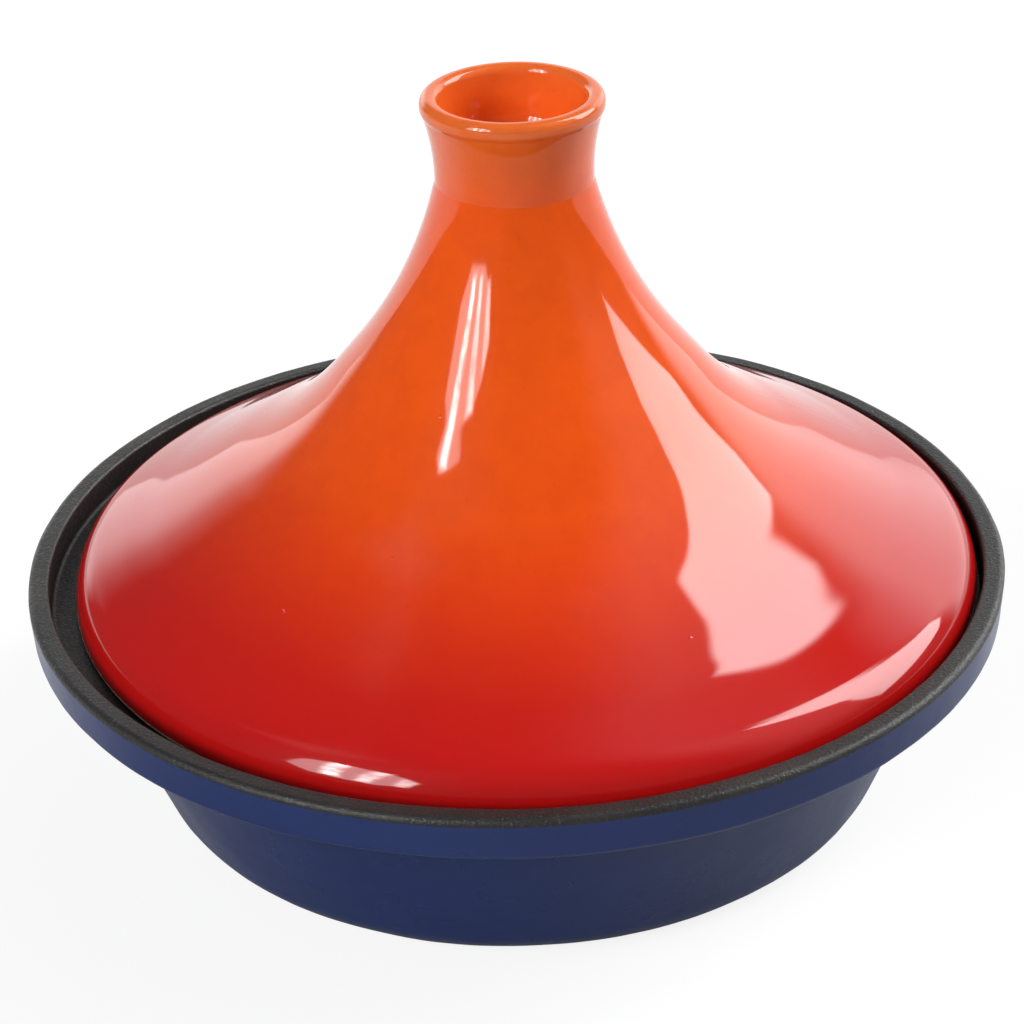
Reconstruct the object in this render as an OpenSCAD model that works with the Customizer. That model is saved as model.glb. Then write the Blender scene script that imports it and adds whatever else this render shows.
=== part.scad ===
// Tagine pot: a cast-iron dish with a stepped rim, and a conical stoneware lid topped by a steam cup.
//
// Every piece is a turned form. Its section is an outline of straight lines whose corners are
// rounded by true arcs, and each coat of enamel or glaze is the skin between two such outlines.
// The origin is on the table under the middle of the dish, and +Z is up. Lengths are millimetres.

/* [Dish] */
// Outside diameter across the rim
rim_d = 300; // [270:1:330]
// Height of the rim above the table
rim_h = 74; // [64:1:84]
// Width of the top of the rim
rim_w = 6.7; // [5.5:0.1:8.5]
// Height of the band that stands out below the rim
band_h = 14; // [11:0.5:17]
// How much the band draws in from its top to its lower edge
band_draft = 0.8; // [0.4:0.1:2]
// How far the band overhangs the wall below it
band_step = 14.1; // [11:0.1:16]
// Lean of the wall from the vertical, in degrees
wall_lean = 21.3; // [18:0.1:26]
// Thickness of the iron wall where it meets the floor
wall_t = 5.5; // [4.5:0.1:7]
// Thickness of the iron floor
floor_t = 5; // [4:0.1:7]
// Radius between the floor and the wall, inside
floor_round = 20; // [10:1:26]
// Radius between the foot and the wall, outside
base_round = 14.5; // [9:0.5:18]
// Width of the bare ring that the dish stands on
foot_w = 8; // [5:0.5:12]
// Height of the foot ring under the floor
foot_h = 1.5; // [1.2:0.1:3]
// Radius on the outer edges of the rim and the band
rim_round = 2.2; // [1:0.1:3]

/* [Lid seat] */
// Depth of the ledge below the top of the rim
seat_drop = 9; // [7:0.5:11]
// Width of the ledge that carries the lid
seat_w = 12.6; // [11:0.1:15]
// Radius on the inner edge of the ledge
seat_round = 2; // [1:0.1:3]
// Clearance all round between the lid and the rim
lid_play = 4.7; // [2.5:0.1:5.5]
// Share of that clearance by which the lid lies off centre, to the right
lid_lean = 0.65; // [0:0.05:0.9]

/* [Lid] */
// Thickness of the lid's wall
lid_t = 6.2; // [5:0.1:8]
// Height of the lid's upright edge, up to where the shoulder's lines meet
edge_h = 10.8; // [9:0.2:14]
// Radius of the shoulder over the lid's edge
edge_round = 12.6; // [8:0.2:15]
// Diameter at which the flat skirt turns up into the flank
flank_d = 148; // [136:1:160]
// Height of that turn above the ledge
flank_h = 47; // [42:0.2:53]
// Radius of the curve between the skirt and the flank
flank_round = 135; // [60:1:150]
// Diameter at which the flank turns up into the neck
neck_d = 64; // [58:1:72]
// Height of that turn above the ledge
neck_h = 99; // [92:1:106]
// Radius of the curve between the flank and the neck
neck_round = 140; // [60:1:160]
// Height of the neck's top above the ledge, where the steam cup begins
cone_h = 131.3; // [122:0.1:142]
// Radius on the two edges of the lid's foot
foot_round = 1.4; // [0.5:0.1:2]

/* [Steam cup] */
// Outside diameter of the cup where it joins the neck
waist_d = 46.6; // [42:0.2:52]
// Outside diameter of the cup's lip
lip_d = 53.8; // [51:0.2:60]
// Height of the cup above the neck
cup_h = 26.2; // [23:0.1:32]
// Width of the lip, from the outside to the mouth
lip_w = 5.4; // [4.6:0.1:6.2]
// Height of the lip's rounded bead
lip_h = 5.4; // [4.8:0.1:6.4]
// How far the lip stands out from the flared side
lip_step = 0.7; // [0.5:0.1:1.4]
// How far the lip's underside rises from the side to the outside
lip_rise = 1.2; // [0.8:0.1:1.6]
// Height at which the cup's side begins to flare, where its two lines meet
flare_h = 10.6; // [8:0.1:14]
// Radius of the flare
flare_round = 67; // [20:1:80]
// Thickness of the cup's floor
cup_floor_t = 5.5; // [4.5:0.1:7]
// Thickness of the cup's side at its floor
cup_wall_t = 4.4; // [3.6:0.1:5]
// Radius between the cup's floor and its side
cup_round = 9; // [4:0.5:12]

/* [Coats] */
// Thickness of the enamel on the iron
enamel_t = 0.4; // [0.3:0.05:0.6]
// How far below the rim the black enamel gives way to the blue
enamel_line = 2.4; // [1.5:0.1:4]
// Thickness of the glaze on the stoneware
glaze_t = 0.5; // [0.3:0.05:0.7]
// Height above the ledge at which the red glaze gives way to the orange
glaze_line = 32; // [20:1:60]
// Height of the bare strip above the lid's foot, left free of glaze
bare_h = 1.6; // [1.4:0.1:3]

/* [Hidden] */
$fn = 180;

// Roundings leave at least this share of an edge straight, so that two of them never meet
STRAIGHT = 0.02;
// Below this turn, in degrees, a corner is left as it is
SLIGHT_TURN = 0.5;
// How far an arc overlaps the lines that it rounds off
OVERLAP = 0.002;
// How far a corner's filling or cutting is drawn past its two edges
MARGIN = 0.2;
// How far a shape that is cut away reaches past the shape it is cut from
SPILL = 1;
// More than any size of the part, for cutting planes
FAR = 2 * (rim_d + rim_h);

// Dish: radii are measured from its own axis, heights from the table
rim_r = rim_d / 2;
bore_r = rim_r - rim_w;
seat_z = rim_h - seat_drop;
seat_r = bore_r - seat_w;
band_z = rim_h - band_h;
band_r = rim_r - band_draft;
band_lean = atan(band_draft / band_h);
// The rim's corner before rounding, so that the rounded rim measures rim_d
rim_corner_r = rim_r + rim_round * (tan(band_lean) + 1 / cos(band_lean) - 1);
wall_r = band_r - band_step;
wall_foot_r = wall_r - band_z * tan(wall_lean);
foot_in_r = wall_foot_r - base_round * tan((90 - wall_lean) / 2) - foot_w;
floor_z = foot_h + floor_t;
floor_r = wall_foot_r + floor_z * tan(wall_lean) - wall_t / cos(wall_lean);
under_band_round = band_step / 2;
bore_round = rim_round * 0.6;
foot_edge_round = foot_h / 3;
// The enamel stops at this height, just short of the foot ring's top
foot_bare_z = foot_h * 0.8;

// Lid: radii are measured from its own axis, heights from the table
lid_x = lid_lean * lid_play;
lid_r = bore_r - lid_play;
neck_r = neck_d / 2;
neck_z = seat_z + cone_h;
waist_r = waist_d / 2;
lip_r = lip_d / 2;
lip_z = neck_z + cup_h;
mouth_r = lip_r - lip_w;
cup_floor_z = neck_z + cup_floor_t;
glaze_line_z = seat_z + glaze_line;
lid_bare_z = seat_z + bare_h;
// How far the neck's line is drawn on past its top, to be cut off level there
neck_rise = 0.2 * ([waist_r, neck_z] - [neck_r, seat_z + neck_h]);

// ---- Paths: corners of an outline, anticlockwise, each as [radius, height, corner radius] ----

function at(path, i) = [path[i].x, path[i].y];
function before(path, i) = at(path, (i + len(path) - 1) % len(path));
function after(path, i) = at(path, (i + 1) % len(path));
function unit(v) = v / norm(v);

// How far the path turns at corner i, in degrees: more than 0 where the outline bulges out
function turn(path, i) =
    let (a = at(path, i) - before(path, i), b = after(path, i) - at(path, i))
    atan2(a.x * b.y - a.y * b.x, a * b);

// Length of edge, from corner i, that its rounding takes up
function reach(path, i) =
    let (j = (i + len(path)) % len(path), t = abs(turn(path, j)))
    t < SLIGHT_TURN ? 0 : path[j].z * tan(t / 2);

// Share of its wish that a corner gets from an edge whose two corners wish for wish and other
function room(edge, wish, other) = min(1, (1 - STRAIGHT) * norm(edge) / max(wish + other, STRAIGHT));

// The same path, with each radius limited to what the edges beside it have room for
function eased(path) = [for (i = [0:len(path) - 1])
    let (wish = reach(path, i),
         back = room(at(path, i) - before(path, i), wish, reach(path, i - 1)),
         ahead = room(after(path, i) - at(path, i), wish, reach(path, (i + 1) % len(path))))
    [path[i].x, path[i].y, path[i].z * min(back, ahead)]];

// The same path, with each edge moved inward by its own depth and the arcs kept concentric
function inset(path, depths) = [for (i = [0:len(path) - 1])
    let (h = (i + len(path) - 1) % len(path),
         u = unit(at(path, i) - at(path, h)),
         v = unit(after(path, i) - at(path, i)),
         to_u = [-u.y, u.x],
         to_v = [-v.y, v.x],
         slide = (to_v * depths[i] - to_u * depths[h]) * to_v / (u * to_v),
         corner = at(path, i) + to_u * depths[h] + u * slide,
         grow = turn(path, i) > 0 ? -depths[i] : depths[i])
    [corner.x, corner.y, path[i].z == 0 ? 0 : max(path[i].z + grow, 0)]];

// What lies between the rounding of corner i and its two edges, drawn a little past the edges.
// The arc overlaps its tangent lines by OVERLAP, so that they cross and never just touch.
module corner_cap(path, i) {
    corner = at(path, i);
    to_before = unit(before(path, i) - corner);
    to_after = unit(after(path, i) - corner);
    centre = corner + unit(to_before + to_after) * path[i].z / cos(turn(path, i) / 2);
    grow = 1 + MARGIN / path[i].z;
    difference() {
        polygon([centre, for (p = [corner + to_after * reach(path, i), corner, corner + to_before * reach(path, i)])
            centre + (p - centre) * grow]);
        translate(centre) circle(r = path[i].z + OVERLAP);
    }
}

// The filled outline of a path: sharp at first, then filled in or cut back at each rounded corner
module outline(path) {
    rounded = [for (i = [0:len(path) - 1]) if (reach(path, i) > 0) i];
    difference() {
        union() {
            polygon([for (i = [0:len(path) - 1]) at(path, i)]);
            for (i = rounded) if (turn(path, i) < 0) corner_cap(path, i);
        }
        for (i = rounded) if (turn(path, i) > 0) corner_cap(path, i);
    }
}

// The part of a section between two heights
module between(low, high) {
    intersection() {
        children();
        translate([-SPILL, low]) square([FAR, high - low]);
    }
}

// ---- Dish ----

// Finished outline, from the middle of the underside round the rim to the middle of the floor
dish_path = eased([
    [0, foot_h, 0],
    [foot_in_r, foot_h, foot_edge_round],
    [foot_in_r, 0, foot_edge_round],
    [wall_foot_r, 0, base_round],
    [wall_r, band_z, under_band_round],
    [band_r, band_z, rim_round],
    [rim_corner_r, rim_h, rim_round],
    [bore_r, rim_h, bore_round],
    [bore_r, seat_z, bore_round],
    [seat_r, seat_z, seat_round],
    [floor_r, floor_z, floor_round],
    [0, floor_z, 0]
]);

// The iron: the finished outline less its enamel, and in full where the foot ring is bare
module iron_section(spill = 0) {
    outline(inset(dish_path, [for (i = [0:len(dish_path) - 1]) i == len(dish_path) - 1 ? -spill : enamel_t]));
    between(-SPILL, foot_bare_z) outline(dish_path);
}

module enamel_section() {
    difference() {
        outline(dish_path);
        iron_section(SPILL);
    }
}

// Everything above a line through the middle of the iron, from the axis out to the rim's outside
module inside_zone() {
    middle_z = (foot_h + floor_z) / 2;
    under_seat_z = (seat_z + band_z) / 2;
    middle_rim_r = (bore_r + rim_r) / 2;
    polygon([
        [-SPILL, middle_z],
        [floor_r, middle_z],
        [(seat_r + wall_r) / 2, under_seat_z],
        [middle_rim_r, under_seat_z],
        [middle_rim_r, rim_h - enamel_line],
        [FAR, rim_h - enamel_line],
        [FAR, FAR],
        [-SPILL, FAR]
    ]);
}

// Everything within the middle of the foot ring
module underside_zone() {
    translate([-SPILL, -SPILL]) square([SPILL + foot_in_r + foot_w / 2, FAR]);
}

module dish_casting() {
    color([0.24, 0.24, 0.25]) rotate_extrude() iron_section();
}

module dish_black_enamel() {
    color([0.12, 0.12, 0.12])
        rotate_extrude()
            intersection() {
                enamel_section();
                inside_zone();
            }
}

module dish_blue_enamel() {
    color([0.13, 0.19, 0.38])
        rotate_extrude()
            difference() {
                enamel_section();
                inside_zone();
                underside_zone();
            }
}

module underside_enamel() {
    color([0.13, 0.19, 0.38])
        rotate_extrude()
            intersection() {
                difference() {
                    enamel_section();
                    inside_zone();
                }
                underside_zone();
            }
}

// ---- Lid ----

// Finished outside of the cone, filled to the axis, and longer than the cone at both ends
cone_path = eased([
    [0, seat_z - SPILL, 0],
    [lid_r, seat_z - SPILL, 0],
    [lid_r, seat_z + edge_h, edge_round],
    [flank_d / 2, seat_z + flank_h, flank_round],
    [neck_r, seat_z + neck_h, neck_round],
    [waist_r + neck_rise.x, neck_z + neck_rise.y, 0],
    [0, neck_z + neck_rise.y, 0]
]);

// Finished outline of the steam cup, whose floor closes the top of the cone
cup_path = eased([
    [0, neck_z, 0],
    [waist_r, neck_z, 0],
    [waist_r, neck_z + flare_h, flare_round],
    [lip_r - lip_step, lip_z - lip_h, lip_h * 0.4],
    [lip_r, lip_z - lip_h + lip_rise, lip_h * 0.45],
    [lip_r, lip_z, lip_w / 2],
    [mouth_r, lip_z, lip_w / 2],
    [waist_r - cup_wall_t, cup_floor_z, cup_round],
    [0, cup_floor_z, 0]
]);

// The cone filled to the axis, at a depth below its finished outside
module cone_fill(depth, spill = 0) {
    outline(inset(cone_path, [-spill, depth, depth, depth, depth, -spill, -spill]));
}

// The cone's wall between two depths and two heights
module cone_wall(outer, inner, low, high) {
    between(low, high)
        difference() {
            cone_fill(outer);
            cone_fill(inner, SPILL);
        }
}

// The bare foot that rests on the ledge
module lid_foot() {
    outline([
        [lid_r - lid_t, seat_z, foot_round],
        [lid_r, seat_z, foot_round],
        [lid_r, lid_bare_z, 0],
        [lid_r - lid_t, lid_bare_z, 0]
    ]);
}

// The cup's stoneware, less its glaze everywhere but on the joint with the cone
module cup_section(spill = 0) {
    outline(inset(cup_path, [for (i = [0:len(cup_path) - 1])
        i == 0 || i == len(cup_path) - 1 ? -spill : glaze_t]));
}

module on_lid_axis() {
    translate([lid_x, 0, 0]) rotate_extrude() children();
}

module lid_cone() {
    color([0.85, 0.78, 0.68])
        on_lid_axis() {
            cone_wall(glaze_t, lid_t - glaze_t, seat_z + bare_h / 2, neck_z);
            lid_foot();
        }
}

module steam_cup() {
    color([0.85, 0.78, 0.68]) on_lid_axis() cup_section();
}

module cup_glaze() {
    color([0.93, 0.36, 0.10])
        on_lid_axis()
            difference() {
                outline(cup_path);
                cup_section(SPILL);
            }
}

module cone_glaze() {
    color([0.90, 0.30, 0.09]) on_lid_axis() cone_wall(0, glaze_t, glaze_line_z, neck_z);
}

module skirt_glaze() {
    color([0.76, 0.13, 0.13]) on_lid_axis() cone_wall(0, glaze_t, lid_bare_z, glaze_line_z);
}

// Glaze inside the cone, and under the cup's floor
module inner_glaze() {
    color([0.93, 0.89, 0.80])
        on_lid_axis()
            difference() {
                between(lid_bare_z, neck_z) cone_fill(lid_t - glaze_t);
                between(seat_z, neck_z - glaze_t) cone_fill(lid_t, SPILL);
            }
}

dish_casting();
dish_black_enamel();
dish_blue_enamel();
underside_enamel();
lid_cone();
steam_cup();
cone_glaze();
skirt_glaze();
cup_glaze();
inner_glaze();
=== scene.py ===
"""Tagine pot: a cast-iron dish under a conical stoneware lid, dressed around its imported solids.

Every coat of enamel and glaze is a turned skin of its own. A section is a path of straight lines
whose corners are rounded by tangent arcs, and a coat is a stretch of that path with a thickness.
Lengths are millimetres in the size fields, and metres once they reach a mesh.
"""

import logging
import math
from collections.abc import Sequence
from dataclasses import dataclass, field
from enum import Enum

import bpy
import numpy as np
from mathutils import Matrix, Vector

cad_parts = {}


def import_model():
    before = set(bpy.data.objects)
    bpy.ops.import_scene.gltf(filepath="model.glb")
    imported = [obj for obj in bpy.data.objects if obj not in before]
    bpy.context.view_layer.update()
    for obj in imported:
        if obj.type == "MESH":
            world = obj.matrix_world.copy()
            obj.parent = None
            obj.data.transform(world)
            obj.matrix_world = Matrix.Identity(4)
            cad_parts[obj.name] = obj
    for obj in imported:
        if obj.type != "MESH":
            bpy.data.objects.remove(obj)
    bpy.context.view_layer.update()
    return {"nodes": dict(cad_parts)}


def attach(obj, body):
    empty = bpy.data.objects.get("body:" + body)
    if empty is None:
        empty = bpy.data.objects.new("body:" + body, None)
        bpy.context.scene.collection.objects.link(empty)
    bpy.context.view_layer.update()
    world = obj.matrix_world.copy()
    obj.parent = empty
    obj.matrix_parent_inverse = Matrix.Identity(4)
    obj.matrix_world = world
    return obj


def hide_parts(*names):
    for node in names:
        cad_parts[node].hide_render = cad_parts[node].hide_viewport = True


MM = 0.001
LOG = logging.getLogger("tagine")

Colour = tuple[float, float, float]
Place = tuple[float, float, float]
Shades = tuple[Colour, Colour]
Tint = tuple[Colour, float]
Pair = tuple[float, float]
Socket = bpy.types.NodeSocket


# ---- Sections -----------------------------------------------------------------------------------


@dataclass(frozen=True)
class Corner:
    """One corner of a section, walked anticlockwise with the solid on the left.

    Attributes:
        r: Distance from the turning axis.
        z: Height above the table.
        rounding: Radius of the arc that replaces the corner.
        step: Longest spacing of mesh rows on this corner's arc and on the edge that follows it.
        mark: Name by which a coat may start or stop here.
    """

    r: float
    z: float
    rounding: float = 0.0
    step: float = 3.0
    mark: str = ""

    def place(self) -> np.ndarray:
        """Give the corner as a point."""
        return np.array([self.r, self.z])


@dataclass(frozen=True)
class Trace:
    """A finely stepped section: points, outward normals and marked places.

    Attributes:
        points: One row of radius and height for each point.
        normals: One outward unit normal for each point.
        marks: Index of each marked corner.
    """

    points: np.ndarray
    normals: np.ndarray
    marks: dict[str, int]

    def stretch(self, start: int, stop: int) -> "Trace":
        """Give the part from one index to another, both included where they exist."""
        return Trace(self.points[start : stop + 1], self.normals[start : stop + 1], {})

    def near(self, mark: str, height: float) -> int:
        """Find the point nearest to a height, close to a marked corner.

        Args:
            mark: Name of the corner to stay near.
            height: Height to come close to.

        Returns:
            Index of the point.
        """
        around = self.points[self.marks[mark]]
        far = np.hypot(*(self.points - around).T)
        miss = np.abs(self.points[:, 1] - height) + NEAR_WEIGHT * far
        return int(np.argmin(miss))


# How much a millimetre away from the mark counts beside a millimetre off the height
NEAR_WEIGHT = 0.02
# Most turn between two rows of an arc, and the turn below which a corner isn't rounded at all
ARC_TURN = math.radians(7)
SLIGHT_TURN = math.radians(0.5)
# Share of an edge that stays straight between two arcs
STRAIGHT_SHARE = 0.02


class Rows:
    """Spacings of mesh rows in millimetres, from the tightest curve to the plainest wall."""

    LIP = 0.4
    ROLL = 0.5
    RIM = 0.9
    NECK = 1.0
    CURVE = 1.5
    EASY = 2.0
    PLAIN = 3.0
    FLAT = 4.0


class Outline:
    """An open path of corners that traces as straight edges and tangent arcs."""

    def __init__(self, corners: Sequence[Corner]) -> None:
        """Keep the corners and ease their roundings.

        Args:
            corners: The path, anticlockwise. Its two ends stay sharp.
        """
        self.corners = list(corners)
        places = np.array([c.place() for c in self.corners])
        edges = np.diff(places, axis=0)
        self.lengths = np.hypot(edges[:, 0], edges[:, 1])
        self.headings = edges / self.lengths[:, None]
        self.turns = self._turns()
        self.roundings = self._eased()

    def _turns(self) -> np.ndarray:
        """Give the turn at each corner in radians, more than 0 where the outline bulges out."""
        turns = np.zeros(len(self.corners))
        for i in range(1, len(self.corners) - 1):
            a, b = self.headings[i - 1], self.headings[i]
            turns[i] = math.atan2(a[0] * b[1] - a[1] * b[0], float(a @ b))
        return turns

    def _eased(self) -> np.ndarray:
        """Give the roundings, limited to what the edges beside each corner have room for."""
        wish = np.array([c.rounding for c in self.corners])
        slight = np.abs(self.turns) < SLIGHT_TURN
        reach = np.where(slight, 0.0, wish * np.tan(np.abs(self.turns) / 2))
        share = np.ones(len(wish))
        for i, length in enumerate(self.lengths):
            taken = reach[i] + reach[i + 1]
            room = 1.0 if taken == 0 else min(1.0, (1 - STRAIGHT_SHARE) * length / taken)
            share[i : i + 2] = np.minimum(share[i : i + 2], room)
        return np.where(slight, 0.0, wish * share)

    def trace(self) -> Trace:
        """Give the whole path in small steps."""
        points: list[np.ndarray] = []
        normals: list[np.ndarray] = []
        marks: dict[str, int] = {}
        for i, corner in enumerate(self.corners):
            arc_points, arc_normals = self._arc(i)
            if points:
                steps = self._edge(i - 1, points[-1], arc_points[0])
                points.extend(steps)
                normals.extend([self._normal(i - 1)] * len(steps))
            if corner.mark:
                marks[corner.mark] = len(points) + len(arc_points) // 2
            points.extend(arc_points)
            normals.extend(arc_normals)
        return Trace(np.array(points), np.array(normals), marks)

    def _normal(self, edge: int) -> np.ndarray:
        """Give the outward normal of an edge."""
        heading = self.headings[edge]
        return np.array([heading[1], -heading[0]])

    def _arc(self, i: int) -> tuple[list[np.ndarray], list[np.ndarray]]:
        """Step round a corner.

        Args:
            i: Number of the corner.

        Returns:
            Its points and their normals: a single one where the corner isn't rounded.
        """
        corner = self.corners[i]
        ends = (max(i - 1, 0), min(i, len(self.headings) - 1))
        arriving, leaving = self._normal(ends[0]), self._normal(ends[1])
        radius = self.roundings[i]
        if radius == 0:
            middle = arriving + leaving
            return [corner.place()], [middle / np.hypot(*middle)]
        turn = self.turns[i]
        reach = radius * math.tan(abs(turn) / 2)
        start = corner.place() - self.headings[i - 1] * reach
        side = -1.0 if turn > 0 else 1.0
        centre = start + side * radius * arriving
        rows = max(abs(turn) / ARC_TURN, radius * abs(turn) / corner.step)
        points, normals = [], []
        for angle in np.linspace(0, turn, max(2, math.ceil(rows)) + 1):
            c, s = math.cos(angle), math.sin(angle)
            normal = np.array([[c, -s], [s, c]]) @ arriving
            points.append(centre - side * radius * normal)
            normals.append(normal)
        return points, normals

    def _edge(self, i: int, start: np.ndarray, end: np.ndarray) -> list[np.ndarray]:
        """Step along the straight part of an edge, between its two ends."""
        count = max(1, math.ceil(np.hypot(*(end - start)) / self.corners[i].step))
        return [start + share * (end - start) for share in np.arange(1, count) / count]


# ---- Surfaces that aren't quite true ------------------------------------------------------------


@dataclass(frozen=True)
class Waviness:
    """Gentle unevenness of a cast or fired surface, which only ever dips below the true face.

    Attributes:
        length: Typical distance from crest to crest, in millimetres.
        depth: Half the distance from the highest crest to the deepest dip, in millimetres.
        seed: Seed of the random waves.
        waves: How many waves are added up.
        spread: Shortest and longest wave, as shares of the length.
    """

    length: float
    depth: float
    seed: int
    waves: int = 28
    spread: Pair = (0.7, 1.5)

    def at(self, places: np.ndarray) -> np.ndarray:
        """Give the height at each place.

        Args:
            places: One row of x, y, z in millimetres for each place.

        Returns:
            Heights in millimetres.
        """
        draw = np.random.default_rng(self.seed)
        ways = draw.normal(size=(self.waves, 3))
        ways /= np.linalg.norm(ways, axis=1)[:, None]
        pitch = 2 * math.pi / (self.length * draw.uniform(*self.spread, self.waves))
        phase = draw.uniform(0, 2 * math.pi, self.waves)
        height = np.zeros(len(places))
        for way, turn, start in zip(ways, pitch, phase):
            height += np.cos(places @ (way * turn) + start)
        return self.depth * (np.tanh(height * math.sqrt(2 / self.waves)) - 1)


@dataclass(frozen=True)
class Turning:
    """Turns sections into closed skins about an upright axis.

    Attributes:
        axis_x: Where the axis stands, along X.
        columns: Mesh columns round the axis.
    """

    axis_x: float = 0.0
    columns: int = 720

    def skin(
        self, name: str, face: Trace, thickness: float, relief: Sequence[Waviness]
    ) -> bpy.types.Object:
        """Build a coat: the given face outside, and its parallel a thickness below.

        Args:
            name: Name of the piece.
            face: Section of the visible face.
            thickness: Thickness of the coat.
            relief: Unevenness of the visible face.

        Returns:
            The piece, closed all round.
        """
        angles = np.linspace(0, 2 * math.pi, self.columns, endpoint=False)
        under = face.points - face.normals * thickness
        section = np.vstack([face.points, under[::-1]])
        rows: list[np.ndarray] = []
        vertices: list[np.ndarray] = []
        total = 0
        for i, (r, z) in enumerate(section):
            around = np.zeros(1) if r < POLE_RADIUS else angles
            cos, sin, level = np.cos(around), np.sin(around), np.ones(len(around))
            ring = np.column_stack([self.axis_x + r * cos, r * sin, z * level])
            if i < len(face.points):
                out, up = face.normals[i]
                lift = sum(wave.at(ring) for wave in relief)
                ways = np.column_stack([out * cos, out * sin, up * level])
                ring = ring + ways * np.reshape(lift, (-1, 1))
            rows.append(np.arange(total, total + len(ring)))
            vertices.append(ring)
            total += len(ring)
        faces: list[tuple[int, ...]] = []
        for low, high in zip(rows, rows[1:] + rows[:1]):
            faces.extend(self._band(low, high))
        mesh = bpy.data.meshes.new(name)
        mesh.from_pydata((np.vstack(vertices) * MM).tolist(), [], faces)
        mesh.validate()
        mesh.shade_smooth()
        mesh.set_sharp_from_angle(angle=SHARP_ANGLE)
        piece = bpy.data.objects.new(name, mesh)
        bpy.context.scene.collection.objects.link(piece)
        return piece

    @staticmethod
    def _band(low: np.ndarray, high: np.ndarray) -> list[tuple[int, ...]]:
        """Join two neighbouring rings, either of which may be a single point on the axis.

        Args:
            low: Vertex numbers of the first ring.
            high: Vertex numbers of the next ring along the section.

        Returns:
            Faces that look outwards.
        """
        count = max(len(low), len(high))
        if count == 1:
            return []
        low, high = np.resize(low, count), np.resize(high, count)
        rings = (low, np.roll(low, -1), np.roll(high, -1), high)
        return [tuple(dict.fromkeys(loop)) for loop in zip(*(ring.tolist() for ring in rings))]


# Radius below which a ring is a single point, and the fold above which an edge is shaded sharp
POLE_RADIUS = 0.01
SHARP_ANGLE = math.radians(40)


# ---- Material graphs ----------------------------------------------------------------------------


# Values of the noise between which clouds build up
CLOUDY = (0.3, 0.7)


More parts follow.
